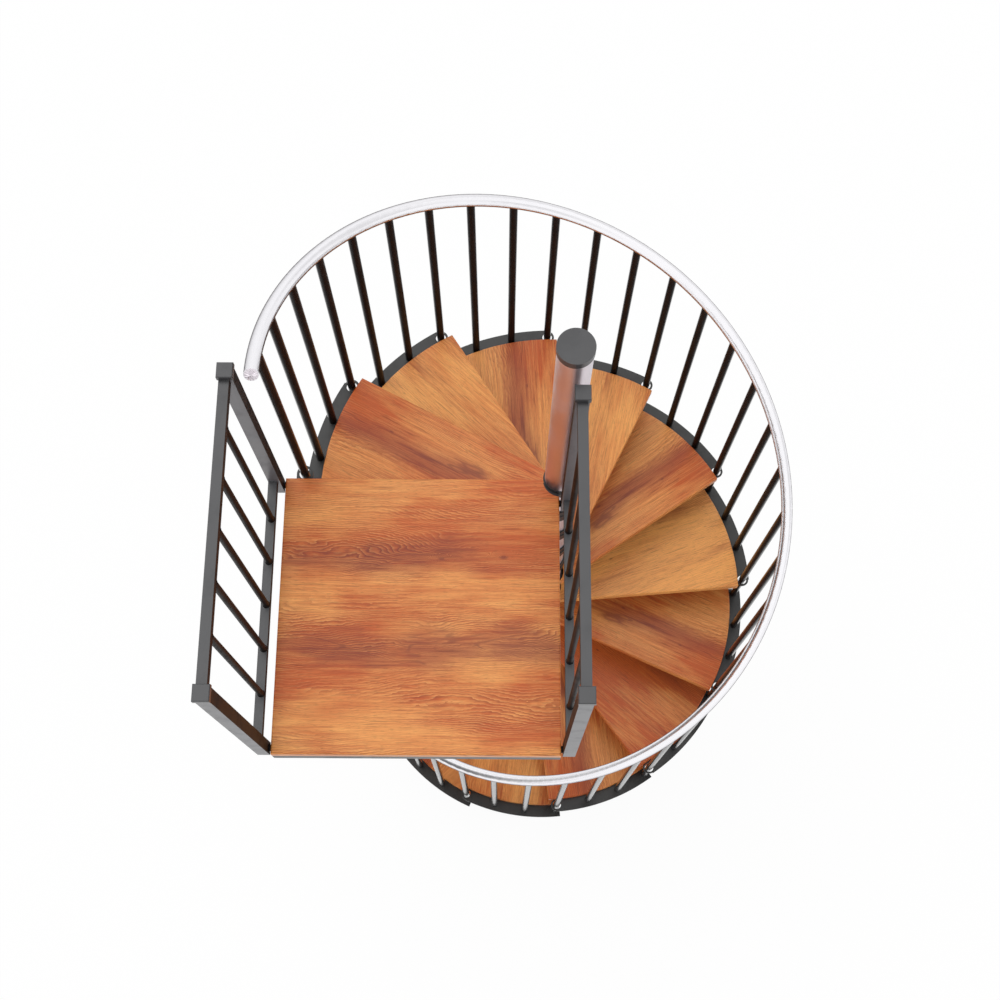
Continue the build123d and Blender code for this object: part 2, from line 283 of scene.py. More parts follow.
# %% [markdown]
# The floor is pale. For the camera and for reflections it is nearly white, as in a photo studio, but it keeps a
# trace of the shadow, so that the stair still stands on something. It lies a hair under the flange, since two
# faces in one plane would flicker.

# %% Floor
FLOOR_HALF = 30.0
FLOOR_DROP = 0.0005
FLOOR_PAINT = (0.93, 0.93, 0.93, 1.0)
FLOOR_KEEPS_SHADOW = 0.06
FLOOR_CORNERS = ((-1, -1), (1, -1), (1, 1), (-1, 1))

floor_mesh = bpy.data.meshes.new("floor")
floor_points = [(x * FLOOR_HALF, y * FLOOR_HALF, cad_low.z - FLOOR_DROP) for x, y in FLOOR_CORNERS]
floor_mesh.from_pydata(floor_points, [], [(0, 1, 2, 3)])
floor = bpy.data.objects.new("floor", floor_mesh)
bpy.context.scene.collection.objects.link(floor)

floor_paint = bpy.data.materials.new("pale floor")
floor_paint.use_nodes = True
tree = floor_paint.node_tree
tree.nodes.clear()
matt = add(tree, "ShaderNodeBsdfDiffuse")
matt.inputs["Color"].default_value = FLOOR_PAINT
glow = add(tree, "ShaderNodeEmission")
glow.inputs["Strength"].default_value = 1.0
floor_mix = add(tree, "ShaderNodeMixShader")
feed(tree, floor_mix.inputs[0], calc(tree, "MULTIPLY", white_for_eyes(tree), 1.0 - FLOOR_KEEPS_SHADOW))
tree.links.new(matt.outputs[0], floor_mix.inputs[1])
tree.links.new(glow.outputs[0], floor_mix.inputs[2])
tree.links.new(floor_mix.outputs[0], add(tree, "ShaderNodeOutputMaterial").inputs[0])
floor_mesh.materials.append(floor_paint)
print("floor under the flange at z", round(cad_low.z, 4))

# %% [markdown]
# ## The figure of the boards
#
# The boards are an orange-brown hardwood under a satin varnish. Four things make its look:
# a slow change of tone across the board, growth lines that bend round knots and close into long ovals, reddish
# streaks of heartwood, and short dark pores along the grain.
# A picture of wood would be quick, but it repeats and it can't turn with the edge of the board. So the figure
# is worked out in the space of the board: x runs along the grain, y across it, z through its thickness.
# Landing and treads share it, so it is a group, and each board places it with its own frame, streaks and knots.

# %% Figure group: sockets
FIGURE_INPUTS = [
    ("Vector", "NodeSocketVector", None),
    ("Shift", "NodeSocketVector", (0.0, 0.0, 0.0)),
    ("Streak One", "NodeSocketVector", (0.1, 0.05, 1.0)),
    ("Streak Two", "NodeSocketVector", (-0.1, 0.05, 1.0)),
    ("Knot One", "NodeSocketVector", (0.2, 0.0, 0.03)),
    ("Knot Two", "NodeSocketVector", (-0.2, 0.0, 0.03)),
    ("Depth", "NodeSocketFloat", 0.5),
    ("Lines", "NodeSocketFloat", 0.5),
]
FIGURE_OUTPUTS = [
    ("Color", "NodeSocketColor"),
    ("Roughness", "NodeSocketFloat"),
    ("Height", "NodeSocketFloat"),
]
figure, given, made = new_group("board figure", FIGURE_INPUTS, FIGURE_OUTPUTS)
board_place = given.outputs["Vector"]
grain_place = vector_calc(figure, "ADD", board_place, given.outputs["Shift"])
across_y = three_parts(figure, board_place)["Y"]
print("board figure takes", [label for label, _, _ in FIGURE_INPUTS])

# %% [markdown]
# The heartwood streaks are the strongest marks in the photograph. Each is a soft band along the grain. A noise
# breaks it into islands, and a second one frays its edges. A streak is handed in as three numbers: the y of its
# middle, its half width, and how strong it is.

# %% Figure group: heartwood streaks
FRAY_CELLS = (2.4, 6.0, 6.0)
FRAY_WIDTH = 0.17
ISLAND_CELLS = (2.6, 6.0, 6.0)
ISLAND_EDGE = (0.40, 0.60)
LEFT_BETWEEN_ISLANDS = 0.16
STREAK_EDGE = (1.0, 0.15)
FIRST_SEED, SECOND_SEED = 3.7, 8.1

fray = noise(figure, grain_place, FRAY_CELLS, detail=3.0)
frayed_y = calc(figure, "ADD", across_y, calc(figure, "MULTIPLY_ADD", fray, FRAY_WIDTH, -FRAY_WIDTH / 2))


def streak(tree, numbers, seed):
    place, width, strength = three_parts(tree, numbers)
    off = calc(tree, "DIVIDE", calc(tree, "ABSOLUTE", calc(tree, "SUBTRACT", frayed_y, place)), width)
    band = calc(tree, "MULTIPLY", between(tree, off, *STREAK_EDGE), strength)
    moved = vector_calc(tree, "ADD", grain_place, (seed, seed, 0.0))
    islands = between(tree, noise(tree, moved, ISLAND_CELLS, detail=3.0), *ISLAND_EDGE, LEFT_BETWEEN_ISLANDS, 1.0)
    return calc(tree, "MULTIPLY", band, islands)


first_streak = streak(figure, given.outputs["Streak One"], FIRST_SEED)
second_streak = streak(figure, given.outputs["Streak Two"], SECOND_SEED)
heartwood = calc(figure, "MAXIMUM", first_streak, second_streak)
print("heartwood streaks:", len(figure.nodes), "boxes so far")

# %% [markdown]
# Growth lines are the level lines of a slow hilly field. Mostly it climbs straight across the board, which
# gives straight lines. A wide noise bends them, a narrower one closes them into ovals, more so in the heartwood,
# and each knot is a steep hill of its own that they run round. A knot is handed in as x, y and its half width.

# %% Figure group: knots
KNOT_STRETCH = 2.4
KNOT_REACH = 2.4
KNOT_HEIGHT = 0.085
KNOT_HEART = (0.85, 0.15)


def knot(tree, numbers):
    """How far a place on the board is from a knot, in half widths of that knot."""
    off = vector_calc(tree, "SUBTRACT", board_place, numbers)
    length = add(tree, "ShaderNodeVectorMath", operation="LENGTH")
    feed(tree, length.inputs[0], vector_calc(tree, "MULTIPLY", off, (1.0 / KNOT_STRETCH, 1.0, 0.0)))
    return calc(tree, "DIVIDE", length.outputs["Value"], three_parts(tree, numbers)["Z"])


knot_one = knot(figure, given.outputs["Knot One"])
knot_two = knot(figure, given.outputs["Knot Two"])
knot_off = calc(figure, "MINIMUM", knot_one, knot_two)
knot_hill = between(figure, knot_off, KNOT_REACH, 0.0, 0.0, KNOT_HEIGHT)
knot_heart = between(figure, knot_off, *KNOT_HEART)
print("knots:", len(figure.nodes), "boxes so far")

# %% Figure group: the hilly field
SLOW_CELLS = (0.9, 2.6, 2.6)
SLOW_BEND = 0.22
OVAL_CELLS = (3.1, 10.5, 10.5)
OVAL_BEND = 0.066
MORE_IN_HEARTWOOD = 0.045
FEATHER_CELLS = (26.0, 60.0, 60.0)
FEATHER_BEND = 0.011

slow_bend = noise(figure, grain_place, SLOW_CELLS, detail=1.0)
oval_bend = noise(figure, grain_place, OVAL_CELLS, detail=1.5)
feather = noise(figure, grain_place, FEATHER_CELLS, detail=2.0, roughness=0.6)
oval_part = calc(figure, "MULTIPLY_ADD", heartwood, MORE_IN_HEARTWOOD, OVAL_BEND)
line_field = calc(figure, "MULTIPLY_ADD", slow_bend, SLOW_BEND, across_y)
line_field = calc(figure, "MULTIPLY_ADD", oval_bend, oval_part, line_field)
line_field = calc(figure, "MULTIPLY_ADD", feather, FEATHER_BEND, line_field)
line_field = calc(figure, "ADD", line_field, knot_hill)
print("hilly field:", len(figure.nodes), "boxes so far")

# %% [markdown]
# Each line has a pale early part and a dark late part, and a noise lets the lines fade here and there. Between
# them run coarse and fine fibres, short dashes and pores. Fine dark seams follow the heartwood.

# %% Figure group: growth lines
LINES_PER_METRE = 140.0
LATE_WOOD = (0.35, 0.95)
EARLY_WOOD = (0.42, 0.08)
SHOW_CELLS = (1.7, 9.0, 9.0)
SHOW_EDGE = (0.36, 0.66)
FAINTEST_LINES = 0.12

line_phase = calc(figure, "FRACT", calc(figure, "MULTIPLY", line_field, LINES_PER_METRE))
line_show = between(figure, noise(figure, grain_place, SHOW_CELLS, detail=2.0), *SHOW_EDGE, FAINTEST_LINES, 1.0)
line_show = calc(figure, "MULTIPLY", line_show, given.outputs["Lines"])
late_wood = calc(figure, "MULTIPLY", between(figure, line_phase, *LATE_WOOD), line_show)
early_wood = calc(figure, "MULTIPLY", between(figure, line_phase, *EARLY_WOOD), line_show)
print("a growth line every", round(1000.0 / LINES_PER_METRE, 1), "mm")

# %% Figure group: fibres, pores and seams
FIBRE_CELLS = (4.5, 90.0, 90.0)
FINE_FIBRE_CELLS = (9.0, 380.0, 380.0)
DASH_CELLS = (9.0, 150.0, 150.0)
DASH_EDGE = (0.63, 0.72)
PORE_CELLS = (38.0, 900.0, 900.0)
PORE_EDGE = (0.60, 0.68)
SEAM_CELLS = (2.1, 12.0, 12.0)
SEAM_SHIFT = (5.3, 2.9, 0.0)
SEAM_LEVEL = 0.5
SEAM_EDGE = (0.016, 0.002)
SEAM_NEEDS_HEARTWOOD = (0.30, 0.75)

fibre = noise(figure, grain_place, FIBRE_CELLS, detail=3.0, roughness=0.6)
fine_fibre = noise(figure, grain_place, FINE_FIBRE_CELLS, detail=2.0)
dashes = between(figure, noise(figure, grain_place, DASH_CELLS, detail=1.0), *DASH_EDGE)
pores = between(figure, noise(figure, grain_place, PORE_CELLS, detail=1.0), *PORE_EDGE)
seam_noise = noise(figure, vector_calc(figure, "ADD", grain_place, SEAM_SHIFT), SEAM_CELLS, detail=2.0)
seam_off = calc(figure, "ABSOLUTE", calc(figure, "SUBTRACT", seam_noise, SEAM_LEVEL))
seams_allowed = between(figure, heartwood, *SEAM_NEEDS_HEARTWOOD)
seams = calc(figure, "MULTIPLY", between(figure, seam_off, *SEAM_EDGE), seams_allowed)
print("fibres, pores and seams:", len(figure.nodes), "boxes so far")

# %% [markdown]
# The colours are read off the photograph. The ground runs from honey to orange with the tone, and the marks
# are laid over it one after another, from the widest to the finest. Each has a share that says how much it covers.

# %% Figure group: ground tone
HONEY = srgb(255, 179, 97)
ORANGE = srgb(202, 93, 34)
TONE_CELLS = (1.7, 4.2, 4.2)
TONE_EDGE = (0.38, 0.62)
TONE_SWING = 0.32
FIBRE_EDGE = (0.30, 0.70)
FIBRE_SWING = 0.20

tone_noise = noise(figure, grain_place, TONE_CELLS, detail=3.0, roughness=0.55)
slow_tone = between(figure, tone_noise, *TONE_EDGE, -TONE_SWING, TONE_SWING)
fibre_tone = between(figure, fibre, *FIBRE_EDGE, -FIBRE_SWING, FIBRE_SWING)
tone = calc(figure, "ADD", calc(figure, "ADD", slow_tone, fibre_tone), given.outputs["Depth"])
tone = calc(figure, "MINIMUM", calc(figure, "MAXIMUM", tone, 0.0), 1.0)
ground = blend_colours(figure, tone, HONEY, ORANGE)
print("ground from", tuple(round(v, 3) for v in HONEY[:3]), "to", tuple(round(v, 3) for v in ORANGE[:3]))

# %% Figure group: marks
PALE_LINE = srgb(246, 186, 112)
LINE_BROWN = srgb(150, 58, 24)
HEART_RED = srgb(156, 66, 34)
HEART_DARK = srgb(92, 30, 26)
PORE_DARK = srgb(82, 34, 18)
EARLY_SHARE, LATE_SHARE, HEART_SHARE = 0.55, 0.90, 0.66
FINE_FIBRE_EDGE = (0.35, 0.72)
FINE_FIBRE_SHARE = 0.32
HEART_FIBRE_EDGE = (0.46, 0.70)
LATE_WOOD_GAIN = 1.6
HEART_LINE_SHARE, SEAM_SHARE, KNOT_SHARE = 0.55, 0.42, 0.60
DASH_SHARE, PORE_SHARE = 0.30, 0.40


def share_of(mask, share):
    return calc(figure, "MULTIPLY", mask, share)


fine_mask = between(figure, fine_fibre, *FINE_FIBRE_EDGE, 0.0, FINE_FIBRE_SHARE)
heart_fibre = between(figure, fibre, *HEART_FIBRE_EDGE)
heart_lines = calc(figure, "MAXIMUM", share_of(late_wood, LATE_WOOD_GAIN), heart_fibre)
heart_lines = share_of(calc(figure, "MULTIPLY", heart_lines, heartwood), HEART_LINE_SHARE)
heart_lines = calc(figure, "MAXIMUM", heart_lines, share_of(seams, SEAM_SHARE))
heart_lines = calc(figure, "MAXIMUM", heart_lines, share_of(knot_heart, KNOT_SHARE))
dark_marks = calc(figure, "MAXIMUM", share_of(dashes, DASH_SHARE), share_of(pores, PORE_SHARE))

colour = blend_colours(figure, share_of(early_wood, EARLY_SHARE), ground, PALE_LINE)
colour = blend_colours(figure, share_of(late_wood, LATE_SHARE), colour, LINE_BROWN)
colour = blend_colours(figure, fine_mask, colour, LINE_BROWN)
colour = blend_colours(figure, share_of(heartwood, HEART_SHARE), colour, HEART_RED)
colour = blend_colours(figure, heart_lines, colour, HEART_DARK)
colour = blend_colours(figure, dark_marks, colour, PORE_DARK)
feed(figure, made.inputs["Color"], colour)
print("marks laid over the ground:", len(figure.nodes), "boxes so far")

# %% Figure group: gloss and height
SATIN = 0.40
SATIN_SWING = 0.08
MARKS_DULL = 0.16
LATE_WOOD_SINKS = 0.25
FIBRE_RISES = 0.3

satin = calc(figure, "MULTIPLY_ADD", slow_tone, SATIN_SWING, SATIN)
satin = calc(figure, "MULTIPLY_ADD", dark_marks, MARKS_DULL, satin)
feed(figure, made.inputs["Roughness"], satin)
hollows = calc(figure, "MULTIPLY_ADD", dark_marks, -1.0, share_of(late_wood, -LATE_WOOD_SINKS))
feed(figure, made.inputs["Height"], calc(figure, "ADD", hollows, share_of(fine_fibre, FIBRE_RISES)))
print("board figure:", len(figure.nodes), "boxes")

# %% [markdown]
# ## One varnish for each board
#
# The Principled shader stays in the material. Its base takes the figure, and a thin clear coat stands for the
# varnish. What differs from board to board is the frame of the grain, the cut of the wood and how deep its tone is;
# on the treads that depth also holds painted shade.
# On the landing the grain runs along X. In the photograph every second tread repeats the same cut: one cut has its
# grain along the nosing and a strong heartwood streak, and a lighter one has it along the middle of the wedge.

# %% Varnished board
BOARD_BUMP = 0.20
BOARD_SHINE = 0.30
VARNISH_WEIGHT = 0.06
VARNISH_ROUGHNESS = 0.25


def varnished_board(name, turn, origin, cut):
    material, tree, shader, place = new_material(name)
    along = add(tree, "ShaderNodeVectorRotate", rotation_type="Z_AXIS")
    feed(tree, along.inputs["Vector"], vector_calc(tree, "SUBTRACT", place, origin))
    along.inputs["Angle"].default_value = -turn
    grain = add(tree, "ShaderNodeGroup")
    grain.node_tree = figure
    feed(tree, grain.inputs["Vector"], along.outputs[0])
    for socket, value in cut.items():
        grain.inputs[socket].default_value = value
    feed(tree, shader.inputs["Base Color"], grain.outputs["Color"])
    feed(tree, shader.inputs["Roughness"], grain.outputs["Roughness"])
    bump_from(tree, shader, grain.outputs["Height"], BOARD_BUMP)
    shader.inputs["Specular IOR Level"].default_value = BOARD_SHINE
    shader.inputs["Coat Weight"].default_value = VARNISH_WEIGHT
    shader.inputs["Coat Roughness"].default_value = VARNISH_ROUGHNESS
    return material


def dress(node, material):
    """Gives a loaded solid one material."""
    mesh = solids[node].data
    mesh.materials.clear()
    mesh.materials.append(material)


# %% Landing board
LANDING_CUT = {
    "Shift": (2.30, 5.10, 0.0),
    "Streak One": (0.190, 0.078, 1.0),
    "Streak Two": (-0.118, 0.092, 0.85),
    "Knot One": (0.266, 0.182, 0.011),
    "Knot Two": (0.067, 0.176, 0.008),
    "Depth": 0.60,
    "Lines": 0.72,
}
landing_low, landing_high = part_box("landing_board")
landing_mid = (landing_low + landing_high) / 2
landing_origin = (landing_mid.x, landing_mid.y, landing_high.z)
dress("landing_board", varnished_board("landing board wood", 0.0, landing_origin, LANDING_CUT))
print("landing board varnished round", tuple(round(v, 3) for v in landing_origin))

# %% Treads
TREADS = 11
STEP_TURN = math.radians(29.4)
FIRST_NOSING = math.radians(152.05)
OFF_THE_BOARD = (0.900, 0.400, 0.010)
STREAKED_CUT = {
    "Shift": (7.4, 1.3, 0.4),
    "Streak One": (0.085, 0.082, 1.0),
    "Streak Two": (0.240, 0.060, 0.6),
    "Knot One": (0.620, 0.060, 0.007),
    "Knot Two": (0.330, 0.110, 0.008),
    "Lines": 0.60,
}
LIGHT_CUT = {
    "Shift": (12.7, 9.8, 0.9),
    "Streak One": (-0.095, 0.050, 0.60),
    "Streak Two": (0.115, 0.065, 0.75),
    "Knot One": (0.300, 0.020, 0.006),
    "Knot Two": OFF_THE_BOARD,
    "Lines": 0.48,
}
# The depth of each tread is partly the tone of its wood and partly painted shade: most of the lower treads, the
# eighth above all, are made deeper as painted shade, and the sixth is made paler as painted light against its shade.
TREAD_TONE_AND_SHADE = (0.74, 0.32, 0.62, 0.24, 0.62, -0.12, 0.70, 0.90, 0.74, 0.50, 0.80)

for k in range(1, TREADS + 1):
    node = f"tread_{k:02d}"
    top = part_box(node)[1].z
    nosing = FIRST_NOSING - (k - 1) * STEP_TURN
    streaked = k % 2 == 1
    turn = nosing if streaked else nosing + STEP_TURN / 2
    cut = dict(STREAKED_CUT if streaked else LIGHT_CUT, Depth=TREAD_TONE_AND_SHADE[k - 1])
    dress(node, varnished_board(f"tread wood {k:02d}", turn, (0.0, 0.0, top), cut))
print(TREADS, "treads varnished")

# %% [markdown]
# ## Coatings and metals
#
# Steel parts are powder coated. A powder coat flows out in the oven, but never quite flat: it keeps a fine
# orange-peel surface, and handling leaves slight differences of gloss. Bare metal shows the same kind of small
# differences with finer marks. Both draw on one group that gives a slow tone, smudges and a fine height.

# %% Surface group
SURFACE_INPUTS = [
    ("Vector", "NodeSocketVector", None),
    ("Grain", "NodeSocketVector", (600.0, 600.0, 600.0)),
]
SURFACE_OUTPUTS = [
    ("Tone", "NodeSocketFloat"),
    ("Smudge", "NodeSocketFloat"),
    ("Height", "NodeSocketFloat"),
]
WIDE_CELLS = (3.0, 3.0, 3.0)
WIDE_EDGE = (0.3, 0.7)
SMUDGE_CELLS = (11.0, 11.0, 11.0)
SMUDGE_EDGE = (0.42, 0.72)

surface, given, made = new_group("handled surface", SURFACE_INPUTS, SURFACE_OUTPUTS)
place = given.outputs["Vector"]
wide_noise = noise(surface, place, WIDE_CELLS, detail=4.0)
smudge_noise = noise(surface, place, SMUDGE_CELLS, detail=5.0, roughness=0.65)
feed(surface, made.inputs["Tone"], between(surface, wide_noise, *WIDE_EDGE))
feed(surface, made.inputs["Smudge"], between(surface, smudge_noise, *SMUDGE_EDGE))
feed(surface, made.inputs["Height"], noise(surface, place, given.outputs["Grain"], detail=2.0))
print("handled surface:", len(surface.nodes), "boxes")

# %% [markdown]
# A finish is a range between two close colours, a range of roughness, and how strongly it mirrors. On thin bars
# and tubes a bump would show only as noise, so they get none. Two finishes change where they are seen at a slant:
# the bars have a lacquer that shines there, and the handrail has a clear film that mirrors less there.

# %% Coated or bare metal
GRAIN_SHARE, TONE_SHARE = 0.35, 0.65
PAINT, METAL = 0.0, 1.0
COMMON_SHINE = 0.5


def metal_finish(name, dark, light, gloss, grain, metallic=PAINT, shine=COMMON_SHINE, bump=0.0):
    """gloss is the range of roughness, shine the specular level: a low one is nearly matt."""
    material, tree, shader, place = new_material(name)
    touched = add(tree, "ShaderNodeGroup")
    touched.node_tree = surface
    feed(tree, touched.inputs["Vector"], place)
    touched.inputs["Grain"].default_value = grain
    wide = calc(tree, "MULTIPLY", touched.outputs["Tone"], TONE_SHARE)
    shade = calc(tree, "MULTIPLY_ADD", touched.outputs["Height"], GRAIN_SHARE, wide)
    feed(tree, shader.inputs["Base Color"], blend_colours(tree, shade, dark, light))
    feed(tree, shader.inputs["Roughness"], between(tree, touched.outputs["Smudge"], 0.0, 1.0, *gloss))
    shader.inputs["Metallic"].default_value = metallic
    shader.inputs["Specular IOR Level"].default_value = shine
    if bump:
        bump_from(tree, shader, touched.outputs["Height"], bump)
    return material


def shader_of(material):
    return next(box for box in material.node_tree.nodes if box.type == "BSDF_PRINCIPLED")


# %% What changes at a slant
LACQUER_EDGE = (0.66, 0.86)
LACQUER_ROUGHNESS = 0.16
LACQUER_IOR = 1.5
FILM_TINT = (0.10, 0.09, 0.09, 1.0)


def lacquer_at_a_slant(material):
    """Round bars seen almost end on shine much more than bars seen from the side. A thin coat does that."""
    tree, shader = material.node_tree, shader_of(material)
    slant = add(tree, "ShaderNodeLayerWeight")
    slant.inputs["Blend"].default_value = 0.5
    feed(tree, shader.inputs["Coat Weight"], between(tree, slant.outputs["Facing"], *LACQUER_EDGE))
    shader.inputs["Coat Roughness"].default_value = LACQUER_ROUGHNESS
    shader.inputs["Coat IOR"].default_value = LACQUER_IOR


def film_at_a_slant(material):
    """For a metal, Specular Tint says how much of its mirroring is left at a slant of about 82 degrees."""
    shader_of(material).inputs["Specular Tint"].default_value = FILM_TINT


# %% The finishes
PEEL = (700.0, 700.0, 700.0)
DRAWN = (900.0, 900.0, 25.0)
PLATED = (900.0, 900.0, 900.0)
PANEL_GLOSS = (0.34, 0.44)
RIM_GLOSS = (0.36, 0.46)
DULL_GLOSS = (0.50, 0.60)
RAIL_GLOSS = (0.20, 0.25)
POLE_GLOSS = (0.38, 0.44)
ZINC_GLOSS = (0.30, 0.50)
RIM_SHINE, FLANK_SHINE, BAR_SHINE = 0.45, 0.16, 0.14
COAT_BUMP, ZINC_BUMP = 0.2, 0.35

graphite = metal_finish("graphite coat", srgb(58, 58, 60), srgb(66, 66, 68), PANEL_GLOSS, PEEL, bump=COAT_BUMP)
# Painted light: the next coat is the graphite made paler, for the front and back faces of the posts.
front_coat_painted_light = metal_finish("front coat, painted light", srgb(94, 93, 97), srgb(102, 101, 105), PANEL_GLOSS, PEEL, bump=COAT_BUMP)
rim_coat = metal_finish("rim coat", srgb(22, 22, 21), srgb(30, 29, 28), RIM_GLOSS, PEEL, PAINT, RIM_SHINE, COAT_BUMP)
# Painted shade: the next coat is near-black, for the flanks of posts and rails; on the round bars it is their own
# black.
flank_coat_black_and_painted_shade = metal_finish("flank coat, black and painted shade", srgb(10, 7, 6), srgb(18, 13, 12), DULL_GLOSS, PEEL, PAINT, FLANK_SHINE)
bar_coat = metal_finish("bar coat", srgb(9, 5, 6), srgb(16, 10, 11), DULL_GLOSS, PEEL, PAINT, BAR_SHINE)
silver = metal_finish("satin silver", srgb(246, 245, 249), srgb(253, 252, 255), RAIL_GLOSS, PEEL, METAL)
steel = metal_finish("satin steel", srgb(226, 219, 225), srgb(240, 233, 239), POLE_GLOSS, DRAWN, METAL)
zinc = metal_finish("zinc", srgb(150, 152, 156), srgb(186, 188, 192), ZINC_GLOSS, PLATED, METAL, bump=ZINC_BUMP)
lacquer_at_a_slant(bar_coat)
film_at_a_slant(silver)
print("8 metal finishes made")

# %% Give the steel parts their finish
for node in ("base_flange", "start_baluster_foot", "landing_frame", "pole_collar"):
    dress(node, rim_coat)
for k in range(1, TREADS + 1):
    dress(f"tread_carrier_{k:02d}", rim_coat)
for node in ("left_railing_panel", "right_railing_panel", "post_caps", "pole_cap"):
    dress(node, graphite)
for node in ("short_balusters", "nosing_balusters", "post_spacers"):
    dress(node, bar_coat)
for node in ("handrail", "handrail_end_caps"):
    dress(node, silver)
for node in ("column", "column_sleeves", "pole_tube"):
    dress(node, steel)
print("each steel part has its coat or metal")

# %% [markdown]
# A railing panel is one solid. Its tops get the graphite coat. The front and back faces of its posts get a paler
# copy of that coat, which is painted light. Its other upright faces get a near-black copy: on the flanks of posts
# and rails this is painted shade, and on the round bars it is their own black. Faces may point to another material
# without the shape changing, so each face picks its finish by the way it faces and by where it is.

# %% Finishes and painted light and shade of the railing panels
POST_W = 0.038
ON_FACE = 0.001
UPRIGHT = 0.3
FRONT_OR_BACK = 0.9
BLACK_AND_SHADE_INDEX, PAINTED_LIGHT_INDEX = 1, 2


def coat_panel(node):
    low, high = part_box(node)
    mesh = solids[node].data
    mesh.materials.append(flank_coat_black_and_painted_shade)
    mesh.materials.append(front_coat_painted_light)
    count = {"dark": 0, "pale": 0}
    for face in mesh.polygons:
        spots = [mesh.vertices[i].co.y for i in face.vertices]
        on_post = max(spots) < low.y + POST_W + ON_FACE or min(spots) > high.y - POST_W - ON_FACE
        if abs(face.normal.z) >= UPRIGHT:
            continue
        # Front and back faces of the posts get the paler coat: painted light.
        if on_post and abs(face.normal.y) > FRONT_OR_BACK:
            face.material_index = PAINTED_LIGHT_INDEX
            count["pale"] += 1
        # Other upright faces get the near-black coat: painted shade on flanks, own black on the round bars.
        else:
            face.material_index = BLACK_AND_SHADE_INDEX
            count["dark"] += 1
    print(node, "faces", count)


coat_panel("left_railing_panel")
coat_panel("right_railing_panel")

# %% [markdown]
# ## Fasteners
#
# Screws and bolts are small, but they tell how large the stair is and how it goes together. They could be loaded
# as ready parts. Here one helper turns a profile round an axis, ring by ring, as a lathe would. A ring may also be
# a hexagon, and that is all that a bolt head, a nut or a key socket needs. Each profile entry is a radius, a height
# and whether the ring is a hexagon of that half width.

# %% Lathe helper
RING_STEPS = 24
SIXTH_TURN = math.pi / 3
SHARP_ANGLE = math.radians(32.0)


def join_rings(shape, low, high):
    count = len(low)
    for n in range(count):
        m = (n + 1) % count
        shape.faces.new((low[n], low[m], high[m], high[n]))


def turned(shape, stand, profile):
    rings = []
    for radius, height, hexagon in profile:
        ring = []
        for n in range(RING_STEPS):
            turn = 2.0 * math.pi * n / RING_STEPS
            from_flat = (turn + SIXTH_TURN / 2) % SIXTH_TURN - SIXTH_TURN / 2
            reach = radius / math.cos(from_flat) if hexagon else radius
            ring.append(shape.verts.new(stand @ Vector((reach * math.cos(turn), reach * math.sin(turn), height))))
        rings.append(ring)
    for low, high in zip(rings, rings[1:]):
        join_rings(shape, low, high)
    shape.faces.new(list(reversed(rings[0])))
    shape.faces.new(rings[-1])


def standing(point, axis):
    """The frame of a fastener that stands on point and sticks out along axis."""
    return Matrix.Translation(point) @ Vector(axis).to_track_quat("Z", "Y").to_matrix().to_4x4()


def new_piece(name, shape, material):
    """Makes an object of the shape, smooth but for its sharp edges, and fixes it to the stair."""
    mesh = bpy.data.meshes.new(name)
    bmesh.ops.recalc_face_normals(shape, faces=shape.faces)
    shape.to_mesh(mesh)
    shape.free()
    mesh.shade_smooth()
    mesh.set_sharp_from_angle(angle=SHARP_ANGLE)
    mesh.materials.append(material)
    piece = bpy.data.objects.new(name, mesh)
    bpy.context.scene.collection.objects.link(piece)
    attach(piece, "root")
    print(name, len(mesh.polygons), "faces")


# %% [markdown]
# The kinds of fastener follow. A washer is a flat ring with softened edges. A bolt head and a nut have a chamfer,
# where the hexagon meets a smaller circle. The stud above a nut has its thread cut as rings, which at this size
# nobody can tell from a helix. A button head has a key socket, and so has a set screw.

# %% Kinds of fastener
def washer(shape, stand, radius, thick):
    turned(shape, stand, [(radius, 0.0, False), (radius, 0.7 * thick, False), (radius - 0.3 * thick, thick, False)])


def hex_head(shape, stand, half_width, low, high):
    chamfer = 0.18 * half_width
    turned(shape, stand, [
        (0.94 * half_width, low, False),
        (half_width, low + 0.5 * chamfer, True),
        (half_width, high - chamfer, True),
        (0.97 * half_width, high - 0.3 * chamfer, False),
        (0.86 * half_width, high, False),
    ])


def stud(shape, stand, radius, low, high, pitch):
    profile = []
    for n in range(int((high - low) / pitch)):
        profile += [(radius, low + n * pitch, False), (0.88 * radius, low + (n + 0.5) * pitch, False)]
    turned(shape, stand, profile + [(0.8 * radius, high, False)])


def button_head(shape, stand, radius, height):
    key = 0.34 * radius
    turned(shape, stand, [
        (radius, 0.0, False),
        (radius, 0.2 * height, False),
        (0.88 * radius, 0.62 * height, False),
        (0.66 * radius, 0.92 * height, False),
        (0.50 * radius, height, False),
        (key, height, True),
        (key, 0.4 * height, True),
    ])


# %% [markdown]
# The positions repeat the stair's own measures. Three bolts under each rim hold the two short balusters and the
# long one that ends on that rim. Six screws hold each board from below, clear of the two ribs.

# %% Measures of the stair
RISE = 0.239
LANDING_TOP = 2.868
PLATE_DEPTH = 0.042
BALUSTER_CIRCLE = 0.838
FIRST_BALUSTER = math.radians(149.82)
UP = (0.0, 0.0, 1.0)
DOWN = (0.0, 0.0, -1.0)


def on_ring(radius, turn, z):
    return Vector((radius * math.cos(turn), radius * math.sin(turn), z))


def in_frame(turn, x, y, z):
    """A point given along and across the direction turn."""
    return on_ring(x, turn, z) + on_ring(y, turn + math.pi / 2, 0.0)


print(TREADS, "rises of", RISE, "below the landing at", LANDING_TOP)


# %% Bolts and screws under the treads
BOLT_WASHER_R, BOLT_WASHER_T = 0.0115, 0.0016
BOLT_HEAD_W, BOLT_HEAD_H = 0.0085, 0.0080
BOARD_SCREW_R, BOARD_SCREW_H = 0.0065, 0.0030
SCREWS_AHEAD = [(0.220, -0.0326), (0.480, -0.0326), (0.750, -0.0326)]
SCREWS_BEHIND = [(0.330, -0.020), (0.540, -0.020), (0.750, -0.020)]

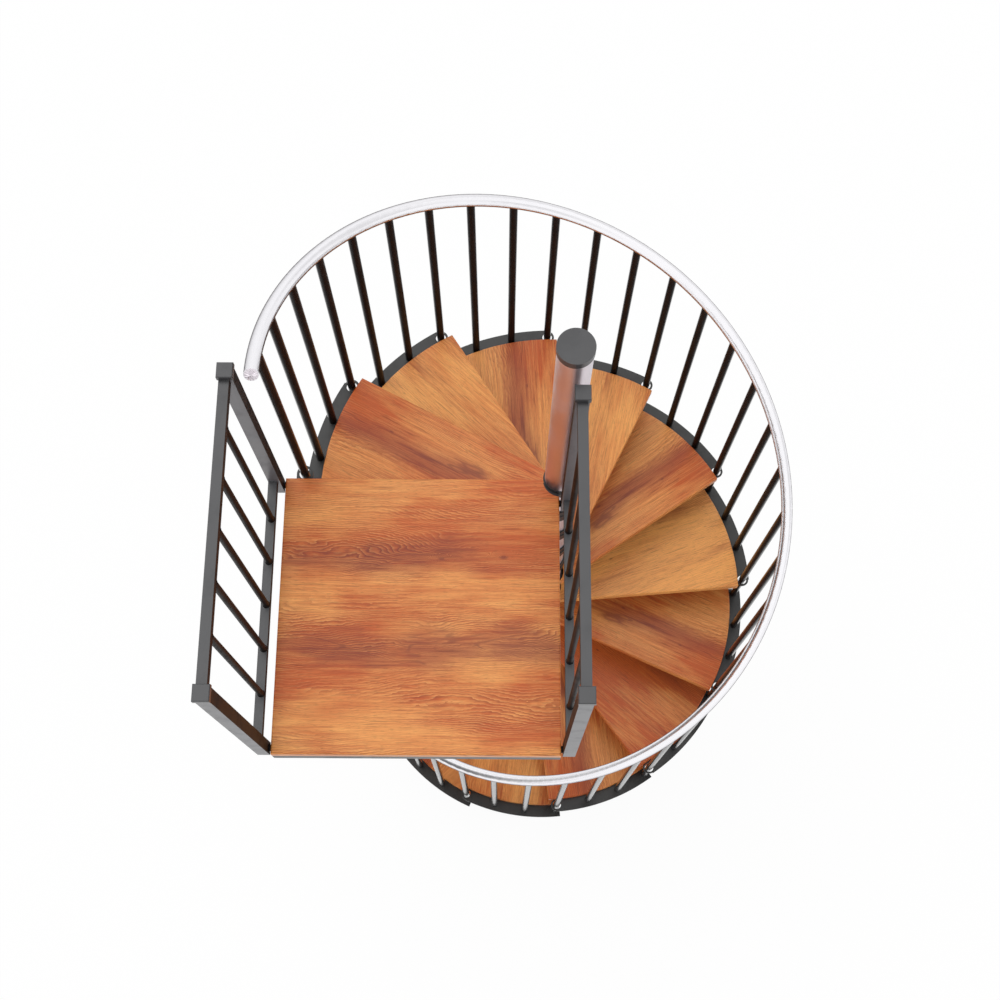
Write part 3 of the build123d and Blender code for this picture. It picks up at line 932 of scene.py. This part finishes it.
bolts = bmesh.new()
board_screws = bmesh.new()
for k in range(1, TREADS + 1):
    under = LANDING_TOP - k * RISE - PLATE_DEPTH
    for n in (1, 2, 3):
        stand = standing(on_ring(BALUSTER_CIRCLE, FIRST_BALUSTER - (k - 1 - n / 3) * STEP_TURN, under), DOWN)
        washer(bolts, stand, BOLT_WASHER_R, BOLT_WASHER_T)
        hex_head(bolts, stand, BOLT_HEAD_W, BOLT_WASHER_T, BOLT_HEAD_H)
    front_line = FIRST_NOSING - (k - 1) * STEP_TURN
    spots = [in_frame(front_line, x, y, under) for x, y in SCREWS_AHEAD]
    spots += [in_frame(front_line + STEP_TURN, x, y, under) for x, y in SCREWS_BEHIND]
    for point in spots:
        button_head(board_screws, standing(point, DOWN), BOARD_SCREW_R, BOARD_SCREW_H)
new_piece("baluster_bolts", bolts, zinc)
new_piece("board_screws", board_screws, zinc)

# %% [markdown]
# The flange is held by four anchors with washer, nut and a stub of thread. The foot plate of the lowest baluster
# has three screws, the railing posts are bolted through their spacers, and each hub is locked by a set screw.

# %% Anchors of the flange
FLANGE_TOP = 0.012
ANCHOR_CIRCLE = 0.120
ANCHOR_WASHER_R, ANCHOR_WASHER_T = 0.0120, 0.0025
NUT_W, NUT_TOP = 0.0095, 0.0125
THREAD_R, THREAD_TOP, THREAD_PITCH = 0.0060, 0.0215, 0.0018

anchors = bmesh.new()
for n in range(4):
    stand = standing(on_ring(ANCHOR_CIRCLE, math.radians(45.0 + 90.0 * n), FLANGE_TOP), UP)
    washer(anchors, stand, ANCHOR_WASHER_R, ANCHOR_WASHER_T)
    hex_head(anchors, stand, NUT_W, ANCHOR_WASHER_T, NUT_TOP)
    stud(anchors, stand, THREAD_R, NUT_TOP, THREAD_TOP, THREAD_PITCH)
new_piece("flange_anchors", anchors, zinc)

# %% Fasteners of foot, posts and hubs
FOOT_TOP = 0.006
FOOT_SCREW_CIRCLE = 0.024
FOOT_SCREW_R, FOOT_SCREW_H = 0.0050, 0.0026
START_TURN = FIRST_BALUSTER - (TREADS - 1) * STEP_TURN
BOARD_THICK = 0.036
SPACER_Z = LANDING_TOP - BOARD_THICK / 2
SPACER_BOLT_R, SPACER_BOLT_H = 0.0075, 0.0028
SPACER_ENDS = ((-0.939, -0.036, -1.0), (-0.939, -0.889, -1.0), (0.040, -0.094, 1.0), (0.040, -0.889, 1.0))
HUB_R = 0.056
SET_SCREW_DEEP = 0.0005
SET_SCREW_TURN = 0.70 * STEP_TURN
SET_SCREW_DROP = 0.084
SET_SCREW = [
    (0.0050, 0.0, False),
    (0.0050, 0.0022, False),
    (0.0044, 0.0028, False),
    (0.0026, 0.0028, True),
    (0.0026, 0.0010, True),
]

small_heads = bmesh.new()
foot_mid = on_ring(BALUSTER_CIRCLE, START_TURN, FOOT_TOP)
for n in range(3):
    off = on_ring(FOOT_SCREW_CIRCLE, START_TURN + math.radians(60.0 + 120.0 * n), 0.0)
    button_head(small_heads, standing(foot_mid + off, UP), FOOT_SCREW_R, FOOT_SCREW_H)
for x, y, side in SPACER_ENDS:
    stand = standing((x, y, SPACER_Z), (side, 0.0, 0.0))
    button_head(small_heads, stand, SPACER_BOLT_R, SPACER_BOLT_H)
for k in range(1, TREADS + 1):
    turn = FIRST_NOSING - (k - 1) * STEP_TURN + SET_SCREW_TURN
    point = on_ring(HUB_R - SET_SCREW_DEEP, turn, LANDING_TOP - k * RISE - SET_SCREW_DROP)
    turned(small_heads, standing(point, on_ring(1.0, turn, 0.0)), SET_SCREW)
new_piece("small_heads", small_heads, zinc)

# %% [markdown]
# ## Weld beads
#
# The carriers are welded up from plates, and a weld always shows as a small rippled bead in the corner. A line of
# points is swept with an eight-sided ring that grows and shrinks in step, as the welder's ripples do. The ribs get
# short stitches with gaps, since a full seam would warp the plate.

# %% Weld bead helper
BEAD_SIDES = 8
BEAD_TURNS = [2.0 * math.pi * m / BEAD_SIDES for m in range(BEAD_SIDES)]
RIPPLE_LENGTH = 0.0042
RIPPLE_VALLEY = 0.84
BEAD_END = 0.3


def bead(shape, spine, radius, closed=False):
    count = len(spine)
    rings = []
    for n, spot in enumerate(spine):
        ahead = spine[(n + 1) % count] if closed or n + 1 < count else spot
        behind = spine[n - 1] if closed or n > 0 else spot
        along = (ahead - behind).normalized()
        side = along.cross(Vector(UP)).normalized()
        over = side.cross(along)
        reach = radius * (1.0 if n % 2 == 0 else RIPPLE_VALLEY)
        if not closed and n in (0, count - 1):
            reach = BEAD_END * radius
        rings.append([shape.verts.new(spot + (side * math.cos(t) + over * math.sin(t)) * reach) for t in BEAD_TURNS])
    for here, there in zip(rings, rings[1:]):
        join_rings(shape, here, there)
    if closed:
        join_rings(shape, rings[-1], rings[0])
    else:
        shape.faces.new(list(reversed(rings[0])))
        shape.faces.new(rings[-1])


def ring_weld(shape, middle, radius, size):
    steps = 2 * int(math.pi * radius / RIPPLE_LENGTH)
    bead(shape, [middle + on_ring(radius, 2.0 * math.pi * n / steps, 0.0) for n in range(steps)], size, closed=True)


# %% Welds of flange, landing hub and carriers
RIB_TURNS = (math.radians(3.5), math.radians(21.5))
RIB_HALF = 0.003
STITCH_OFF = 0.0006
STITCH_R = 0.0022
STITCH_STARTS = (0.075, 0.260, 0.450, 0.640)
STITCH_LENGTH = 0.040
STITCH_STEPS = 16
BEAD_SINK = 0.001
FLANGE_BEAD_CIRCLE, FLANGE_BEAD_R = 0.0505, 0.0030
LANDING_BEAD_CIRCLE = 0.0525
HUB_BEAD_CIRCLE, HUB_BEAD_R = HUB_R + 0.0005, 0.0028

welds = bmesh.new()
ring_weld(welds, on_ring(0.0, 0.0, FLANGE_TOP + BEAD_SINK), FLANGE_BEAD_CIRCLE, FLANGE_BEAD_R)
ring_weld(welds, on_ring(0.0, 0.0, LANDING_TOP - PLATE_DEPTH - BEAD_SINK), LANDING_BEAD_CIRCLE, HUB_BEAD_R)
for k in range(1, TREADS + 1):
    under = LANDING_TOP - k * RISE - PLATE_DEPTH
    ring_weld(welds, on_ring(0.0, 0.0, under - BEAD_SINK), HUB_BEAD_CIRCLE, HUB_BEAD_R)
    for rib_turn in RIB_TURNS:
        turn = FIRST_NOSING - (k - 1) * STEP_TURN + rib_turn
        for side in (-1.0, 1.0):
            for start in STITCH_STARTS:
                line = [start + STITCH_LENGTH * n / STITCH_STEPS for n in range(STITCH_STEPS + 1)]
                across = side * (RIB_HALF + STITCH_OFF)
                bead(welds, [in_frame(turn, x, across, under - STITCH_OFF) for x in line], STITCH_R)
new_piece("carrier_welds", welds, rim_coat)

# %% Welds of the railing panels
BAR_PITCH = 0.139
BAR_R = 0.010
BAR_BEAD_R = 0.0018
BAR_BEAD_OFF = 0.0004
BAR_ENDS = (LANDING_TOP + 0.0755, LANDING_TOP + 0.8725)
BAR_ROWS = ((-0.920, -0.460), (0.021, -0.493))

panel_welds = bmesh.new()
for bar_x, bar_mid_y in BAR_ROWS:
    for n in range(-2, 3):
        for z in BAR_ENDS:
            middle = Vector((bar_x, bar_mid_y + n * BAR_PITCH, z))
            ring_weld(panel_welds, middle, BAR_R + BAR_BEAD_OFF, BAR_BEAD_R)
new_piece("panel_welds", panel_welds, bar_coat)

# %% [markdown]
# ## End plugs of the handrail
#
# The open ends of the tube are closed by pressed plugs. In the photograph the end shows a pattern like the spokes of
# a wheel, so the plug is a shallow dome with ribs. Rings of points are pushed in by turns round the dome. They are
# a little duller than the tube, as the photograph shows them.

# %% End plugs
RAIL_TOP_TURN = math.radians(185.32)
RAIL_TOP_Z = 3.86257
RAIL_CLIMB = RISE / STEP_TURN
RAIL_PAST_BALUSTER = math.radians(3.5)
RAIL_LOW_TURN = START_TURN - RAIL_PAST_BALUSTER
PLUG_R = 0.0188
PLUG_OUT = 0.004
PLUG_RIBS = 12
PLUG_STEPS = 4 * PLUG_RIBS
PLUG_DIP = 0.0016
PLUG_DOME = ((1.0, 0.0), (1.0, 0.0010), (0.90, 0.0022), (0.62, 0.0030), (0.34, 0.0034), (0.16, 0.0034))
DIPPED = (0.90, 0.62, 0.34)


def rail_end(turn, side):
    """The frame of a plug on one end: side is 1 at the upper end and -1 at the lower one."""
    z = RAIL_TOP_Z + (turn - RAIL_TOP_TURN) * RAIL_CLIMB
    ahead = Vector((-math.sin(turn) * BALUSTER_CIRCLE, math.cos(turn) * BALUSTER_CIRCLE, RAIL_CLIMB))
    along = ahead.normalized() * side
    return standing(on_ring(BALUSTER_CIRCLE, turn, z) + along * PLUG_OUT, along)


plugs = bmesh.new()
for turn, side in ((RAIL_TOP_TURN, 1.0), (RAIL_LOW_TURN, -1.0)):
    stand = rail_end(turn, side)
    rings = []
    for share, height in PLUG_DOME:
        ring = []
        for n in range(PLUG_STEPS):
            t = 2.0 * math.pi * n / PLUG_STEPS
            dip = PLUG_DIP if share in DIPPED and n % 4 in (0, 1) else 0.0
            point = Vector((PLUG_R * share * math.cos(t), PLUG_R * share * math.sin(t), height - dip))
            ring.append(plugs.verts.new(stand @ point))
        rings.append(ring)
    for low, high in zip(rings, rings[1:]):
        join_rings(plugs, low, high)
    plugs.faces.new(rings[-1])
    plugs.faces.new(list(reversed(rings[0])))
new_piece("handrail_plugs", plugs, steel)
